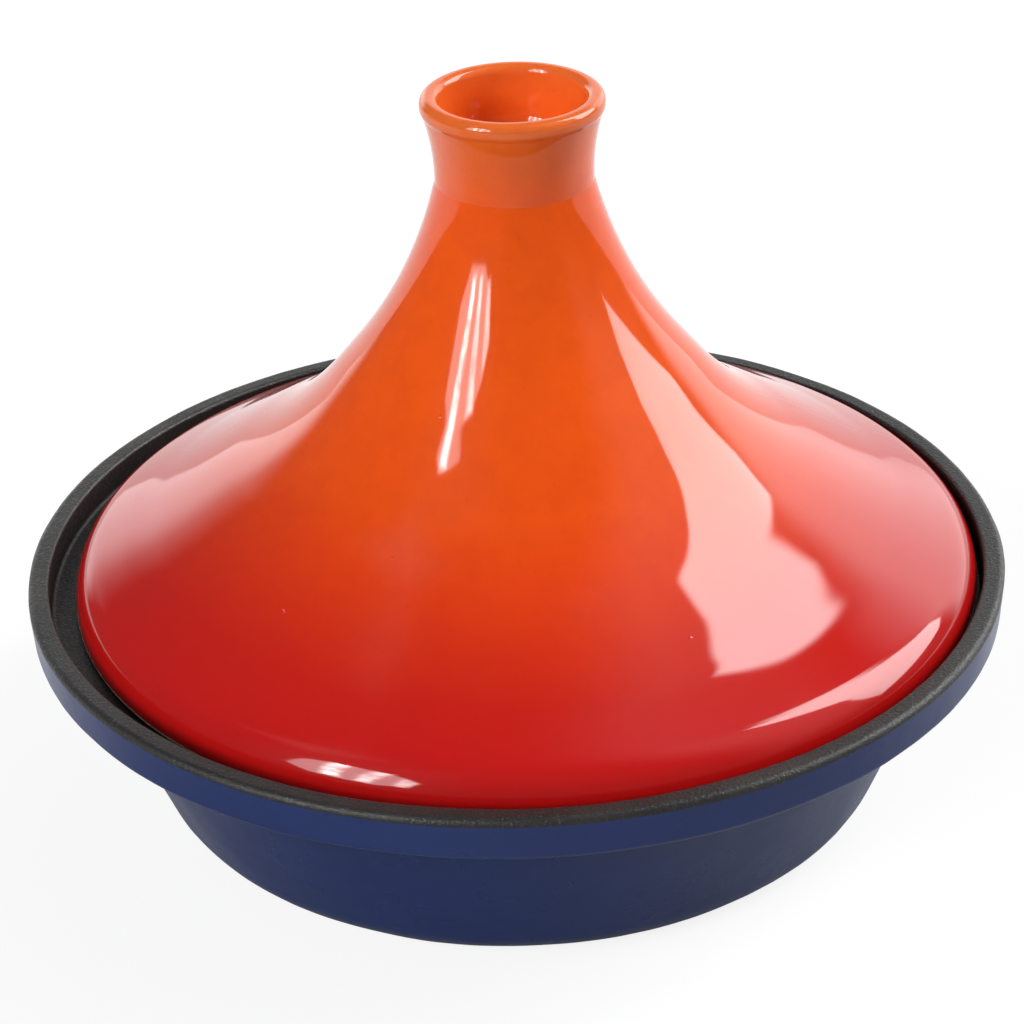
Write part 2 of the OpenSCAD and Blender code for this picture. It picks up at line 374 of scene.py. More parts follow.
class Graph:
    """The node tree of a material or of the world, with one short method for each kind of node."""

    def __init__(self, owner: bpy.types.Material | bpy.types.World) -> None:
        """Empty the owner's tree.

        Args:
            owner: A material, read in the piece's own coordinates, or the world, read by direction.
        """
        self.owner = owner
        owner.use_nodes = True
        self.tree = owner.node_tree
        self.tree.nodes.clear()
        where = "Generated" if isinstance(owner, bpy.types.World) else "Object"
        self.place = self.node("ShaderNodeTexCoord").outputs[where]

    def node(self, kind: str, **settings: object) -> bpy.types.Node:
        """Add a node and set its properties."""
        made = self.tree.nodes.new(kind)
        for key, value in settings.items():
            setattr(made, key, value)
        return made

    def feed(self, target: Socket, value: "Socket | float | Colour | tuple") -> None:
        """Link a socket, or set its own value."""
        if isinstance(value, bpy.types.NodeSocket):
            self.tree.links.new(value, target)
        elif isinstance(value, tuple) and target.type == "RGBA":
            target.default_value = (*value[:3], 1.0)
        else:
            target.default_value = value

    def noise(
        self, size: float, detail: float = 2.0, rough: float = 0.5, where: Socket | None = None
    ) -> Socket:
        """Add cloudy noise.

        Args:
            size: Distance between its blobs, in millimetres.
            detail: Octaves of finer noise.
            rough: Strength of the finer octaves.
            where: Coordinates, or None for the piece's own.

        Returns:
            Values around 0.5.
        """
        made = self.node("ShaderNodeTexNoise")
        self.feed(made.inputs["Vector"], self.place if where is None else where)
        made.inputs["Scale"].default_value = 1 / (size * MM)
        made.inputs["Detail"].default_value = detail
        made.inputs["Roughness"].default_value = rough
        return made.outputs["Fac"]

    def clouds(self, size: float, detail: float, low: float = 0.0, high: float = 1.0) -> Socket:
        """Add noise that passes softly from a low value to a high one."""
        return self.spread(self.noise(size, detail), *CLOUDY, low, high)

    def ripple(
        self, size: float, height: float, detail: float = 1.0, rough: float = 0.5
    ) -> tuple[Socket, float]:
        """Add noise for the bump, and give it with its height in millimetres."""
        return self.noise(size, detail, rough), height

    def cells(self, size: float) -> Socket:
        """Give the distance to the nearest of many scattered points, in cell sizes."""
        made = self.node("ShaderNodeTexVoronoi")
        self.feed(made.inputs["Vector"], self.place)
        made.inputs["Scale"].default_value = 1 / (size * MM)
        return made.outputs["Distance"]

    def spot(self, place: Place, width: float) -> Socket:
        """Give a round bump of height 1, with its middle and its width in millimetres."""
        away = self.vector("DISTANCE", tuple(c * MM for c in place)).outputs["Value"]
        return self.spread(away, width / 2 * MM, 0.0)

    def sum(self, *terms: "Socket | float") -> Socket:
        """Add several values."""
        total = terms[0]
        for term in terms[1:]:
            total = self.math("ADD", total, term)
        return total

    def math(self, how: str, a: "Socket | float", b: "Socket | float" = 0.0) -> Socket:
        """Combine two values."""
        made = self.node("ShaderNodeMath", operation=how)
        self.feed(made.inputs[0], a)
        self.feed(made.inputs[1], b)
        return made.outputs[0]

    def spread(
        self, value: Socket, low: float, high: float,
        to_low: float = 0.0, to_high: float = 1.0, how: str = "SMOOTHSTEP",
    ) -> Socket:
        """Map a range onto another without running past its ends.

        Args:
            value: What is mapped.
            low: Value that gives to_low.
            high: Value that gives to_high.
            to_low: First end of the result.
            to_high: Second end of the result.
            how: SMOOTHSTEP or LINEAR.

        Returns:
            The mapped value.
        """
        made = self.node("ShaderNodeMapRange", interpolation_type=how, clamp=True)
        self.feed(made.inputs["Value"], value)
        names = ("From Min", "From Max", "To Min", "To Max")
        for name, number in zip(names, (low, high, to_low, to_high)):
            made.inputs[name].default_value = number
        return made.outputs["Result"]

    def mix(self, share: "Socket | float", a: "Socket | Colour", b: "Socket | Colour") -> Socket:
        """Mix two colours."""
        made = self.node("ShaderNodeMix", data_type="RGBA")
        self.feed(made.inputs["Factor"], share)
        self.feed(made.inputs[6], a)
        self.feed(made.inputs[7], b)
        return made.outputs[2]

    def tint(
        self, base: Socket, where: Socket, colour: Colour, strength: "Socket | float"
    ) -> Socket:
        """Mix a colour in, as strongly as a place and a strength say together."""
        return self.mix(self.math("MULTIPLY", where, strength), base, colour)

    def ramp(self, value: Socket, stops: Sequence[tuple[float, Colour]]) -> Socket:
        """Colour a value by stops, which are positions from 0 to 1 with their colours."""
        made = self.node("ShaderNodeValToRGB")
        ramp = made.color_ramp
        while len(ramp.elements) < len(stops):
            ramp.elements.new(0.5)
        for element, (spot, colour) in zip(ramp.elements, stops):
            element.position = spot
            element.color = (*colour, 1.0)
        self.feed(made.inputs["Fac"], value)
        return made.outputs["Color"]

    def vector(self, how: str, other: Place) -> bpy.types.Node:
        """Combine the coordinates with a fixed vector."""
        made = self.node("ShaderNodeVectorMath", operation=how)
        self.feed(made.inputs[0], self.place)
        made.inputs[1].default_value = other
        return made

    def axes(self) -> tuple[Socket, Socket, Socket]:
        """Split the coordinates into x, y and z, in metres where they are a piece's own."""
        made = self.node("ShaderNodeSeparateXYZ")
        self.feed(made.inputs[0], self.place)
        return made.outputs[0], made.outputs[1], made.outputs[2]

    def bump(self, *heights: tuple[Socket, float]) -> Socket:
        """Roughen the surface.

        Args:
            *heights: Values, each with the height in millimetres that a value of 1 stands for.

        Returns:
            The changed normal.
        """
        height = self.sum(*(self.math("MULTIPLY", value, tall) for value, tall in heights))
        made = self.node("ShaderNodeBump")
        made.inputs["Strength"].default_value = 1.0
        made.inputs["Distance"].default_value = MM
        self.feed(made.inputs["Height"], height)
        return made.outputs["Normal"]

    def surface(self, **inputs: "Socket | float | Colour") -> bpy.types.Material:
        """Finish the material with a principled surface.

        Args:
            **inputs: Its sockets, with underscores for spaces.

        Returns:
            The material.
        """
        shader = self.node("ShaderNodeBsdfPrincipled")
        for key, value in inputs.items():
            self.feed(shader.inputs[key.replace("_", " ")], value)
        self.feed(self.node("ShaderNodeOutputMaterial").inputs["Surface"], shader.outputs[0])
        return self.owner


# ---- Finishes -----------------------------------------------------------------------------------


class Slot(Enum):
    """The record's material slots."""

    BARE_IRON = "bare_iron"
    BLACK_ENAMEL = "black_enamel"
    BLUE_ENAMEL = "blue_enamel"
    STONEWARE = "stoneware"
    ORANGE_GLAZE = "orange_glaze"
    RED_GLAZE = "red_glaze"
    CREAM_GLAZE = "cream_glaze"


# Heights in millimetres at which the sprayed glaze has each colour, from the shoulder to the lip
SPRAY: tuple[tuple[float, Colour], ...] = (
    (66, (0.46, 0.006, 0.006)),
    (80, (0.53, 0.007, 0.006)),
    (88, (0.56, 0.011, 0.005)),
    (97, (0.64, 0.026, 0.004)),
    (107, (0.74, 0.048, 0.003)),
    (120, (0.84, 0.080, 0.003)),
    (145, (0.89, 0.096, 0.003)),
    (195, (0.88, 0.098, 0.004)),
    (206, (0.84, 0.125, 0.012)),
    (224, (0.82, 0.155, 0.026)),
)

# Grit that fired into the glaze as pimples: their places, width and height in millimetres
PIMPLES: tuple[Place, ...] = (
    (-66.4, -74.3, 96.5), (32.2, -85.1, 103.3), (48.0, -93.7, 95.3), (-35.1, -70.3, 110.3),
    (-20.4, -44.1, 141.8), (84.0, 52.0, 93.0), (-58.0, 81.0, 97.0), (21.0, 96.0, 98.0),
    (-104.0, 22.0, 88.0), (64.0, 12.0, 118.0),
)
PIMPLE_WIDTH = 1.3
PIMPLE_HEIGHT = 0.25

GLASS_IOR = 1.5


@dataclass(frozen=True)
class Finish:
    """A finish for one material slot.

    Each kind below keeps its ripples as a size and a height in millimetres, its tints as a colour
    and a strength, and its gloss as the least and the most roughness.

    Attributes:
        slot: Slot that it belongs to.
    """

    slot: Slot

    def make(self) -> bpy.types.Material:
        """Build the material.

        Returns:
            The material, named after its slot.
        """
        return self.paint(Graph(bpy.data.materials.new(self.slot.value)))

    def paint(self, g: Graph) -> bpy.types.Material:
        """Fill the material's empty graph."""
        raise NotImplementedError


@dataclass(frozen=True)
class SprayedGlaze(Finish):
    """Glossy glaze, sprayed red at the shoulder and fading into orange above it."""

    stray: Pair = (70.0, 9.0)
    cloud: Tint = ((0.42, 0.012, 0.008), 0.10)
    fleck: Tint = ((0.25, 0.01, 0.006), 0.16)
    gloss: Pair = (0.035, 0.065)
    swell: Pair = (18.0, 0.008)
    peel: Pair = (3.2, 0.0007)

    def paint(self, g: Graph) -> bpy.types.Material:
        """Colour the glass by its height on the piece, with a fade that strays up and down."""
        height = g.axes()[2]
        low, high = SPRAY[0][0], SPRAY[-1][0]
        stray = g.math("SUBTRACT", g.noise(self.stray[0], 3), 0.5)
        wandered = g.math("ADD", height, g.math("MULTIPLY", stray, self.stray[1] * MM))
        level = g.spread(wandered, low * MM, high * MM, how="LINEAR")
        body = g.ramp(level, [((z - low) / (high - low), colour) for z, colour in SPRAY])
        clouded = g.tint(body, g.spread(g.noise(9, 4, 0.6), 0.35, 0.7), *self.cloud)
        coloured = g.tint(clouded, g.spread(g.cells(4.5), 0.09, 0.03), *self.fleck)
        pimples = g.sum(*(g.spot(place, PIMPLE_WIDTH) for place in PIMPLES))
        normal = g.bump(g.ripple(*self.swell), g.ripple(*self.peel), (pimples, PIMPLE_HEIGHT))
        gloss = g.clouds(30, 3, *self.gloss)
        return g.surface(Base_Color=coloured, Roughness=gloss, IOR=GLASS_IOR, Normal=normal)


@dataclass(frozen=True)
class CreamGlaze(Finish):
    """Pale glossy glaze of the lid's inside, with faint iron specks."""

    slot: Slot = Slot.CREAM_GLAZE
    shades: Shades = ((0.84, 0.77, 0.62), (0.78, 0.69, 0.53))
    speck: Colour = (0.36, 0.22, 0.10)
    gloss: Pair = (0.08, 0.16)
    swell: Pair = (14.0, 0.03)
    peel: Pair = (2.5, 0.002)

    def paint(self, g: Graph) -> bpy.types.Material:
        """Cloud the glass between its shades and speck it where the clay had iron."""
        body = g.mix(g.clouds(22, 4), *self.shades)
        specks = g.spread(g.cells(3.1), 0.11, 0.05)
        coloured = g.tint(body, specks, self.speck, g.spread(g.noise(7, 1), 0.52, 0.6))
        normal = g.bump(g.ripple(*self.swell), g.ripple(*self.peel, 2))
        gloss = g.clouds(18, 2, *self.gloss)
        return g.surface(Base_Color=coloured, Roughness=gloss, IOR=GLASS_IOR, Normal=normal)


@dataclass(frozen=True)
class Stoneware(Finish):
    """Buff stoneware left bare on the lid's foot, sponged smooth and slightly gritty."""

    slot: Slot = Slot.STONEWARE
    shades: Shades = ((0.72, 0.62, 0.48), (0.60, 0.48, 0.34))
    grit: Tint = ((0.34, 0.24, 0.15), 0.5)
    grit_height: float = -0.03
    gloss: Pair = (0.78, 0.92)
    tooth: Pair = (0.9, 0.07)

    def paint(self, g: Graph) -> bpy.types.Material:
        """Cloud the clay between its shades and sink the grit into it."""
        grit = g.spread(g.cells(1.3), 0.22, 0.1)
        coloured = g.tint(g.mix(g.clouds(12, 4), *self.shades), grit, *self.grit)
        normal = g.bump(g.ripple(*self.tooth, 3, 0.6), (grit, self.grit_height))
        return g.surface(Base_Color=coloured, Roughness=g.clouds(5, 2, *self.gloss), Normal=normal)


@dataclass(frozen=True)
class BlackEnamel(Finish):
    """Matt black enamel over sand-cast iron, with the sand's grain showing through."""

    slot: Slot = Slot.BLACK_ENAMEL
    shades: Shades = ((0.013, 0.012, 0.012), (0.021, 0.019, 0.018))
    worn: Colour = (0.052, 0.049, 0.046)
    gloss: Pair = (0.52, 0.30)
    grain: Pair = (0.9, 0.26)
    pits: Pair = (1.6, 0.06)
    swell: Pair = (3.5, 0.16)

    def paint(self, g: Graph) -> bpy.types.Material:
        """Let the grain's tops shine through, worn paler and smoother than its hollows."""
        grain = g.noise(self.grain[0], 3, 0.65)
        pits = g.spread(g.cells(self.pits[0]), 0.10, 0.32)
        body = g.mix(g.spread(g.noise(20, 3), 0.35, 0.7), *self.shades)
        coloured = g.mix(g.spread(grain, 0.55, 0.75), body, self.worn)
        normal = g.bump((grain, self.grain[1]), (pits, self.pits[1]), g.ripple(*self.swell, 2))
        rough = g.spread(grain, 0.35, 0.7, *self.gloss)
        return g.surface(Base_Color=coloured, Roughness=rough, Normal=normal)


@dataclass(frozen=True)
class BlueEnamel(Finish):
    """Satin dark blue enamel, sprayed over the casting and a little uneven."""

    slot: Slot = Slot.BLUE_ENAMEL
    shades: Shades = ((0.010, 0.028, 0.132), (0.009, 0.025, 0.118))
    thin: Colour = (0.018, 0.038, 0.150)
    gloss: Pair = (0.26, 0.32)
    peel: Pair = (1.5, 0.012)
    ripple: Pair = (8.0, 0.04)
    swell: Pair = (34.0, 0.10)

    def paint(self, g: Graph) -> bpy.types.Material:
        """Cloud the enamel between its shades and lighten the tops of its orange peel."""
        body = g.mix(g.spread(g.noise(26, 4, 0.6), *CLOUDY), *self.shades)
        peel = g.noise(self.peel[0], 2, 0.6)
        coloured = g.mix(g.spread(peel, 0.6, 0.8), body, self.thin)
        normal = g.bump((peel, self.peel[1]), g.ripple(*self.ripple), g.ripple(*self.swell))
        gloss = g.clouds(24, 2, *self.gloss)
        return g.surface(Base_Color=coloured, Roughness=gloss, IOR=GLASS_IOR, Normal=normal)


@dataclass(frozen=True)
class BareIron(Finish):
    """Cast iron ground flat and left bare on the foot ring."""

    slot: Slot = Slot.BARE_IRON
    shades: Shades = ((0.20, 0.20, 0.21), (0.12, 0.115, 0.11))
    rust: Tint = ((0.16, 0.07, 0.03), 0.4)
    metal: float = 0.85
    gloss: Pair = (0.36, 0.55)
    marks: Pair = (0.5, 0.02)
    grain: Pair = (0.8, 0.03)

    def paint(self, g: Graph) -> bpy.types.Material:
        """Grind circular marks into the iron and rust it lightly."""
        x, y, _ = g.axes()
        ring = g.node("ShaderNodeCombineXYZ")
        squares = (g.math("MULTIPLY", axis, axis) for axis in (x, y))
        g.feed(ring.inputs[0], g.math("SQRT", g.sum(*squares)))
        marks = g.noise(self.marks[0], 3, 0.7, ring.outputs[0])
        body = g.mix(g.clouds(6, 4), *self.shades)
        coloured = g.tint(body, g.spread(g.noise(11, 4), 0.62, 0.75), *self.rust)
        normal = g.bump((marks, self.marks[1]), g.ripple(*self.grain, 2))
        rough = g.spread(marks, *CLOUDY, *self.gloss)
        return g.surface(Base_Color=coloured, Metallic=self.metal, Roughness=rough, Normal=normal)


def dress(piece: bpy.types.Object, material: bpy.types.Material) -> None:
    """Give a piece its only material."""
    piece.data.materials.clear()
    piece.data.materials.append(material)


# ---- The object's sub-assemblies ----------------------------------------------------------------


@dataclass
class Piece:
    """One built piece, ready to be placed on its body.

    Attributes:
        thing: The mesh object.
        slot: Material slot it takes its finish from.
        stands_for: CAD nodes that it is shown in place of.
    """

    thing: bpy.types.Object
    slot: Slot
    stands_for: tuple[str, ...]


def coats(
    turning: Turning,
    faces: Sequence[tuple[str, Slot, Trace]],
    thickness: float,
    relief: Sequence[Waviness],
) -> list[Piece]:
    """Build coats of one thickness.

    Args:
        turning: What turns them.
        faces: CAD node, slot and visible face of each.
        thickness: Their thickness.
        relief: Unevenness of their faces.

    Returns:
        The coats, each in place of its node.
    """
    return [
        Piece(turning.skin(f"{node}_coat", face, thickness, relief), slot, (node,))
        for node, slot, face in faces
    ]


@dataclass
class Dish:
    """The cast-iron dish: its casting, black enamel inside and over the rim, blue enamel outside.

    All sizes are in millimetres.
    """

    body: str = "dish"
    rim_r: float = 150.0
    rim_h: float = 74.0
    rim_w: float = 6.7
    rim_rounding: float = 2.2
    band_h: float = 14.0
    band_draft: float = 0.8
    band_step: float = 14.1
    wall_lean: float = math.radians(21.3)
    wall_t: float = 5.5
    floor_t: float = 5.0
    floor_rounding: float = 20.0
    base_rounding: float = 14.5
    foot_w: float = 8.0
    foot_h: float = 1.5
    seat_drop: float = 9.0
    seat_w: float = 12.6
    seat_rounding: float = 2.0
    enamel_t: float = 0.4
    enamel_line: float = 2.4
    bare_share: float = 0.8
    inner_share: float = 0.6
    turning: Turning = field(default_factory=lambda: Turning(columns=900))
    relief: tuple[Waviness, ...] = (Waviness(46, 0.10, 11), Waviness(9, 0.022, 12, 60))

    def outline(self) -> Outline:
        """Give the finished section, from under the middle round the rim to the well's middle."""
        band_z = self.rim_h - self.band_h
        band_r = self.rim_r - self.band_draft
        lean = math.atan(self.band_draft / self.band_h)
        past = math.tan(lean) + 1 / math.cos(lean) - 1
        rim_corner_r = self.rim_r + self.rim_rounding * past
        wall_r = band_r - self.band_step
        wall_foot_r = wall_r - band_z * math.tan(self.wall_lean)
        base_reach = self.base_rounding * math.tan((math.pi / 2 - self.wall_lean) / 2)
        foot_in_r = wall_foot_r - base_reach - self.foot_w
        bore_r = self.rim_r - self.rim_w
        seat_z = self.rim_h - self.seat_drop
        seat_r = bore_r - self.seat_w
        floor_z = self.foot_h + self.floor_t
        outer_r = wall_foot_r + floor_z * math.tan(self.wall_lean)
        floor_r = outer_r - self.wall_t / math.cos(self.wall_lean)
        line_z = self.rim_h - self.enamel_line
        line_r = band_r + (rim_corner_r - band_r) * (line_z - band_z) / self.band_h
        inner_rounding = self.inner_share * self.rim_rounding
        foot_rounding = self.foot_h / 3
        return Outline([
            Corner(0, self.foot_h, 0, Rows.FLAT),
            Corner(foot_in_r, self.foot_h, foot_rounding, Rows.LIP, "foot_inside"),
            Corner(foot_in_r, 0, foot_rounding, Rows.FLAT),
            Corner(wall_foot_r, 0, self.base_rounding, Rows.CURVE, "base"),
            Corner(wall_r, band_z, self.band_step / 2, Rows.CURVE),
            Corner(band_r, band_z, self.rim_rounding, Rows.RIM),
            Corner(line_r, line_z, 0, Rows.RIM, "enamel_line"),
            Corner(rim_corner_r, self.rim_h, self.rim_rounding, Rows.RIM),
            Corner(bore_r, self.rim_h, inner_rounding, Rows.RIM),
            Corner(bore_r, seat_z, inner_rounding, Rows.RIM),
            Corner(seat_r, seat_z, self.seat_rounding, Rows.RIM),
            Corner(floor_r, floor_z, self.floor_rounding, Rows.FLAT),
            Corner(0, floor_z, 0, Rows.FLAT),
        ])

    def build(self) -> list[Piece]:
        """Build the three coats of enamel.

        Returns:
            The pieces that replace CAD nodes.
        """
        trace = self.outline().trace()
        line = trace.marks["enamel_line"]
        bare_h = self.bare_share * self.foot_h
        outside_foot, inside_foot = trace.near("base", bare_h), trace.near("foot_inside", bare_h)
        faces = (
            ("dish_black_enamel", Slot.BLACK_ENAMEL, trace.stretch(line, len(trace.points))),
            ("dish_blue_enamel", Slot.BLUE_ENAMEL, trace.stretch(outside_foot, line)),
            ("underside_enamel", Slot.BLUE_ENAMEL, trace.stretch(0, inside_foot)),
        )
        return coats(self.turning, faces, self.enamel_t, self.relief)


@dataclass
class Lid:
    """The stoneware lid: a hollow cone with a steam cup on its neck, glazed inside and out.

    All sizes are in millimetres.
    """

    body: str = "lid"
    axis_x: float = 3.055
    seat_z: float = 65.0
    lid_r: float = 138.6
    wall_t: float = 6.2
    edge_h: float = 10.8
    edge_rounding: float = 12.6
    flank_r: float = 74.0
    flank_h: float = 47.0
    flank_rounding: float = 135.0
    sagged_flank_r: float = 70.8
    sagged_flank_h: float = 50.95
    sagged_flank_rounding: float = 122.0
    slope_r: float = 105.95
    slope_h: float = 29.0
    slope_rounding: float = 450.0
    sag_r: float = 116.8
    sag_h: float = 22.55
    sag_rounding: float = 150.0
    hip_r: float = 130.5
    hip_h: float = 15.3
    hip_rounding: float = 20.0
    neck_r: float = 32.0
    neck_h: float = 99.0
    neck_rounding: float = 140.0
    cone_h: float = 131.3
    waist_r: float = 23.3
    cup_h: float = 26.2
    lip_r: float = 26.9
    lip_w: float = 5.4
    lip_h: float = 5.4
    lip_step: float = 0.7
    lip_rise: float = 1.2
    lip_under: float = 0.4
    lip_side: float = 0.45
    flare_h: float = 10.6
    flare_rounding: float = 67.0
    cup_floor_t: float = 5.5
    cup_wall_t: float = 4.4
    cup_rounding: float = 9.0
    glaze_t: float = 0.5
    glaze_line: float = 32.0
    bare_h: float = 1.6
    top_rounding: float = 0.4
    top_gap: float = 0.2
    relief: tuple[Waviness, ...] = (Waviness(64, 0.045, 21), Waviness(26, 0.006, 22, 40))

    def true_skirt(self) -> list[Corner]:
        """Give the straight skirt that the clay was thrown to, from the shoulder to the flank."""
        flank_z = self.seat_z + self.flank_h
        return [Corner(self.flank_r, flank_z, self.flank_rounding, Rows.PLAIN)]

    def sagged_skirt(self) -> list[Corner]:
        """Give the outer coat's own skirt, up to 0.6 mm off the true one: sunken, then fuller."""
        z, flank_rounding = self.seat_z, self.sagged_flank_rounding
        return [
            Corner(self.hip_r, z + self.hip_h, self.hip_rounding, Rows.CURVE),
            Corner(self.sag_r, z + self.sag_h, self.sag_rounding, Rows.CURVE),
            Corner(self.slope_r, z + self.slope_h, self.slope_rounding, Rows.CURVE, "slope"),
            Corner(self.sagged_flank_r, z + self.sagged_flank_h, flank_rounding, Rows.EASY),
        ]

    def cone_outline(self, skirt: Sequence[Corner]) -> Outline:
        """Give the cone's finished face with a skirt, from the bare foot up to the cup."""
        return Outline([
            Corner(self.lid_r, self.seat_z + self.bare_h, 0, Rows.NECK),
            Corner(self.lid_r, self.seat_z + self.edge_h, self.edge_rounding, Rows.CURVE),
            *skirt,
            Corner(self.neck_r, self.seat_z + self.neck_h, self.neck_rounding, Rows.PLAIN),
            Corner(self.waist_r, self.seat_z + self.cone_h, 0, Rows.NECK),
        ])

    def cup_outline(self) -> Outline:
        """Give the steam cup's finished face, from the neck over the lip to the cup's floor."""
        neck_z = self.seat_z + self.cone_h
        lip_z = neck_z + self.cup_h
        side_z = lip_z - self.lip_h
        floor_z = neck_z + self.cup_floor_t
        under, side = self.lip_h * self.lip_under, self.lip_h * self.lip_side
        return Outline([
            Corner(self.waist_r, neck_z, 0, Rows.NECK),
            Corner(self.waist_r, neck_z + self.flare_h, self.flare_rounding, Rows.CURVE),
            Corner(self.lip_r - self.lip_step, side_z, under, Rows.LIP),
            Corner(self.lip_r, side_z + self.lip_rise, side, Rows.LIP),
            Corner(self.lip_r, lip_z, self.lip_w / 2, Rows.ROLL),
            Corner(self.lip_r - self.lip_w, lip_z, self.lip_w / 2, Rows.ROLL),
            Corner(self.waist_r - self.cup_wall_t, floor_z, self.cup_rounding, Rows.NECK),
            Corner(0, floor_z, 0, Rows.EASY),
        ])

    def inside_outline(self) -> Outline:
        """Give the face of the cone's hollow, from under the cup's floor down to the foot."""
        cone = self.cone_outline(self.true_skirt()).trace()
        inner = cone.points - cone.normals * self.wall_t
        top = self.seat_z + self.cone_h - self.glaze_t
        low = self.seat_z + self.bare_h
        edge_r = float(np.interp(top, inner[:, 1], inner[:, 0]))
        kept = [(float(r), float(z)) for r, z in inner[::-1] if low <= z < top - self.top_gap]
        return Outline([
            Corner(0, top, 0, Rows.EASY),
            Corner(edge_r, top, self.top_rounding, Rows.ROLL),
            *(Corner(r, z, 0, Rows.PLAIN) for r, z in kept),
        ])

    def build(self) -> list[Piece]:
        """Build the four coats of glaze.

        Returns:
            The pieces that replace CAD nodes.
        """
        cone = self.cone_outline(self.sagged_skirt()).trace()
        line = cone.near("slope", self.seat_z + self.glaze_line)
        faces = (
            ("skirt_glaze", Slot.RED_GLAZE, cone.stretch(0, line)),
            ("cone_glaze", Slot.ORANGE_GLAZE, cone.stretch(line, len(cone.points))),
            ("cup_glaze", Slot.ORANGE_GLAZE, self.cup_outline().trace()),
            ("inner_glaze", Slot.CREAM_GLAZE, self.inside_outline().trace()),
        )
        return coats(Turning(self.axis_x), faces, self.glaze_t, self.relief)


# ---- The studio ---------------------------------------------------------------------------------


def direction(azimuth: float, elevation: float) -> Vector:
    """Give a direction from the object.

    Args:
        azimuth: Degrees to the right of the camera's side.
        elevation: Degrees above the table.

    Returns:
        A unit vector.
    """
    turn, rise = math.radians(azimuth), math.radians(elevation)
    flat = math.cos(rise)
    return Vector((math.sin(turn) * flat, -math.cos(turn) * flat, math.sin(rise)))


# Width of an umbrella's folds as a direction, times 1000, how much less they change upwards, and
# the values of the noise between which a fold darkens the cloth
FOLD_WIDTH = 50.0
FOLD_STRETCH = 0.3
FOLD_SPAN = (0.38, 0.62)

# Radiance of the white that the camera sees behind everything
WHITE = 1.0


@dataclass(frozen=True)
class Panel:
    """A lamp's diffuser or a lit screen: a convex polygon of directions around the object.

    Attributes:
        corners: Azimuth and elevation of each corner in degrees, in order round the polygon.
        low: Radiance at the lowest corner, where 1 is white paper in full light.
        high: Radiance at the highest corner.
        blur: Half the width of its soft edge, in degrees.
        folds: How much the folds of its cloth darken it, from 0 to 1.
    """

    corners: tuple[Pair, ...]
    low: float
    high: float
    blur: float = 0.7
    folds: float = 0.0

    def shine(self, g: Graph) -> Socket:
        """Add the panel to the world's tree.

        Args:
            g: The world's graph.

        Returns:
            Its radiance in each direction.
        """
        points = [direction(*corner) for corner in self.corners]
        middle = sum(points, Vector())
        depth: Socket | None = None
        for start, stop in zip(points, points[1:] + points[:1]):
            inward = start.cross(stop).normalized()
            inward = inward if inward.dot(middle) > 0 else -inward
            inside = g.vector("DOT_PRODUCT", tuple(inward)).outputs["Value"]
            depth = inside if depth is None else g.math("MINIMUM", depth, inside)
        edge = math.sin(math.radians(self.blur))
        heights = [point.z for point in points]
        radiance = g.spread(g.axes()[2], min(heights), max(heights), self.low, self.high, "LINEAR")
        lit = g.math("MULTIPLY", g.spread(depth, -edge, edge), radiance)
        if not self.folds:
            return lit
        upwards = g.vector("MULTIPLY", (1.0, 1.0, FOLD_STRETCH)).outputs["Vector"]
        cloth = g.noise(FOLD_WIDTH, 2, 0.6, upwards)
        return g.math("MULTIPLY", lit, g.spread(cloth, *FOLD_SPAN, 1.0 - self.folds, 1.0))


